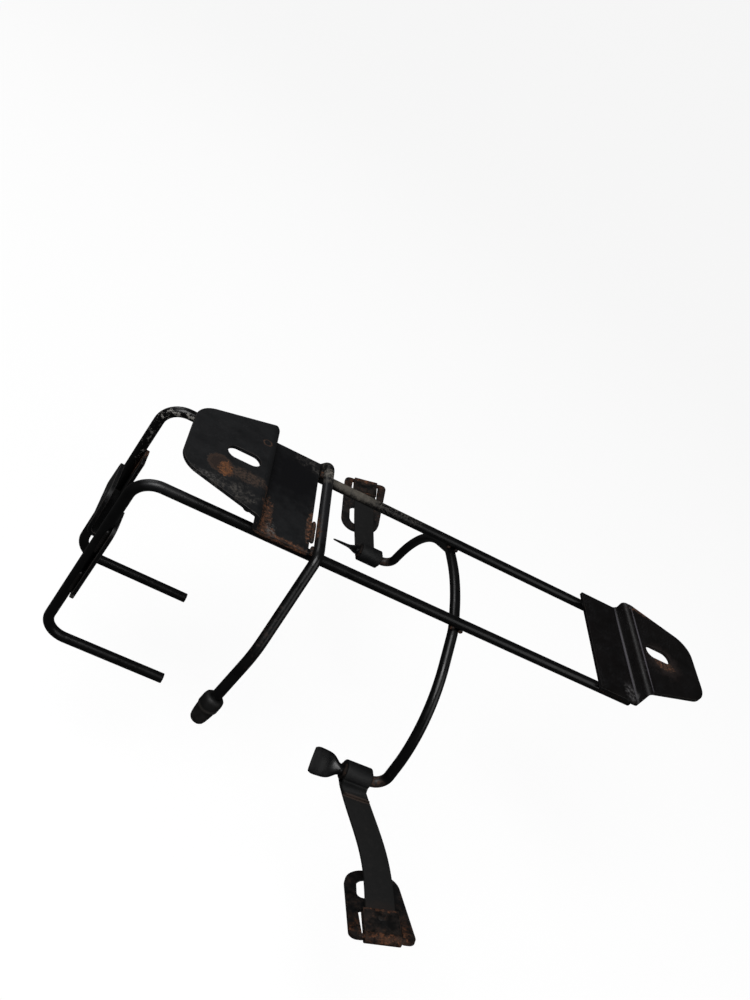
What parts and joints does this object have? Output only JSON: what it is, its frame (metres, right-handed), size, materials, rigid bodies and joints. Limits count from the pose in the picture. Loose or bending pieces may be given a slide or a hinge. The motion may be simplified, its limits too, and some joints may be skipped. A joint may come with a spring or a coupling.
{
  "type": "bolt-on luggage rack carrier",
  "caption": "Welded bent-rod carrier with slotted bolt-on feet, a capped front bow, and a rear bow with swinging buckle straps.",
  "frame": {"origin": "midway between the slots of the front and rear brackets, on their mounting face", "axes": "+X along the rails towards the rear bracket, +Y across them towards the far rail, +Z out of the mounting face"},
  "size_m": [0.4866, 0.4778, 0.198],
  "materials": {
    "rod_enamel": "worn gloss black enamel on bent rod",
    "bracket_enamel": "scuffed black enamel on pressed steel, rust at the folds and slots",
    "weld_metal": "painted weld beads, partly rusted",
    "cap_rubber": "black moulded rubber, dusty on the dome",
    "strap_rubber": "matt charcoal rubber",
    "rusty_steel": "bare steel with brown rust"
  },
  "bodies": {
    "frame": {"near_rail": "rod_enamel", "far_rail": "rod_enamel", "front_bracket": "bracket_enamel", "rear_bracket": "bracket_enamel", "hook_bracket": "bracket_enamel", "leg_bow": "rod_enamel", "near_foot_cap": "cap_rubber", "far_foot_cap": "cap_rubber", "strap_bow": "rod_enamel", "front_bracket_welds": "weld_metal", "rear_bracket_welds": "weld_metal", "hook_bracket_welds": "weld_metal", "leg_bow_welds": "weld_metal", "strap_bow_welds": "weld_metal"},
    "near_strap_body": {"near_strap": "strap_rubber", "near_strap_bush": "rusty_steel", "near_ferrule": "rusty_steel", "near_ferrule_rivet": "rusty_steel"},
    "far_strap_body": {"far_strap": "strap_rubber", "far_strap_bush": "rusty_steel", "far_ferrule": "rusty_steel", "far_ferrule_rivet": "rusty_steel"},
    "near_ring_body": {"near_ring": "rusty_steel"},
    "far_ring_body": {"far_ring": "rusty_steel"}
  },
  "joints": [
    {"name": "near_strap_swing", "type": "hinge", "parent": "frame", "child": "near_strap_body", "pos_m": [-0.0185, -0.12, -0.126], "axis": [1, 0, 0], "range_deg": [-60, 120]},
    {"name": "far_strap_swing", "type": "hinge", "parent": "frame", "child": "far_strap_body", "pos_m": [-0.0185, 0.12, -0.126], "axis": [-1, 0, 0], "range_deg": [-60, 120]},
    {"name": "near_ring_swing", "type": "hinge", "parent": "near_strap_body", "child": "near_ring_body", "pos_m": [0.0035, -0.23486, -0.1186], "axis": [-0.9703, -0.0566, -0.2352], "range_deg": [0, 160]},
    {"name": "far_ring_swing", "type": "hinge", "parent": "far_strap_body", "child": "far_ring_body", "pos_m": [-0.0245, 0.23506, -0.13212], "axis": [0.9703, -0.0045, 0.2419], "range_deg": [0, 160]}
  ]
}
